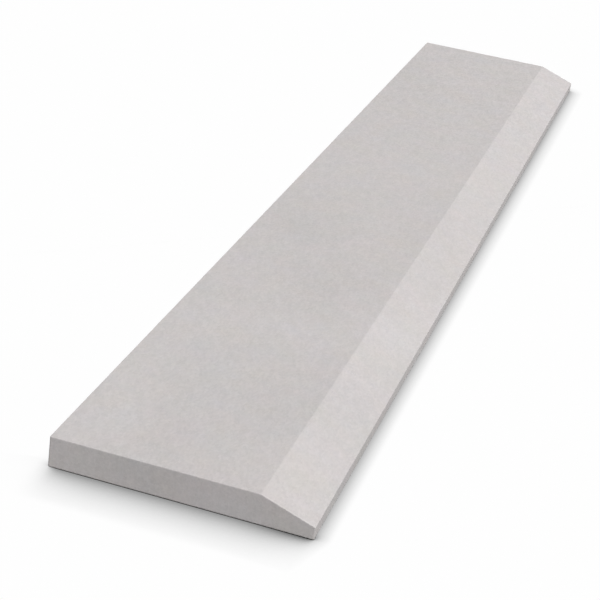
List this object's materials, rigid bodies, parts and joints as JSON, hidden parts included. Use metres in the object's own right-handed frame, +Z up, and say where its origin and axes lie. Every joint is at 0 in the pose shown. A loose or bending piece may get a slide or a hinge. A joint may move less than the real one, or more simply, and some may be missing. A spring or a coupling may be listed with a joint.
{
  "type": "stone threshold",
  "caption": "Long flat slab of honed light grey stone for a doorway, with one long edge bevelled down to a low upright nose and every exposed edge eased.",
  "frame": {"origin": "middle of the underside, where the slab lies on its bed", "axes": "+Z up from the bed to the tread, +X across the doorway from the square back edge to the bevelled nose, +Y along the slab's length"},
  "size_m": [0.1524, 0.9144, 0.0191],
  "materials": {
    "honed_stone": "honed warm light grey marble or limestone with a fine sandy grain and faint clouds, eased edges, matt"
  },
  "bodies": {
    "root": {"threshold_slab": "honed_stone"}
  },
  "joints": []
}
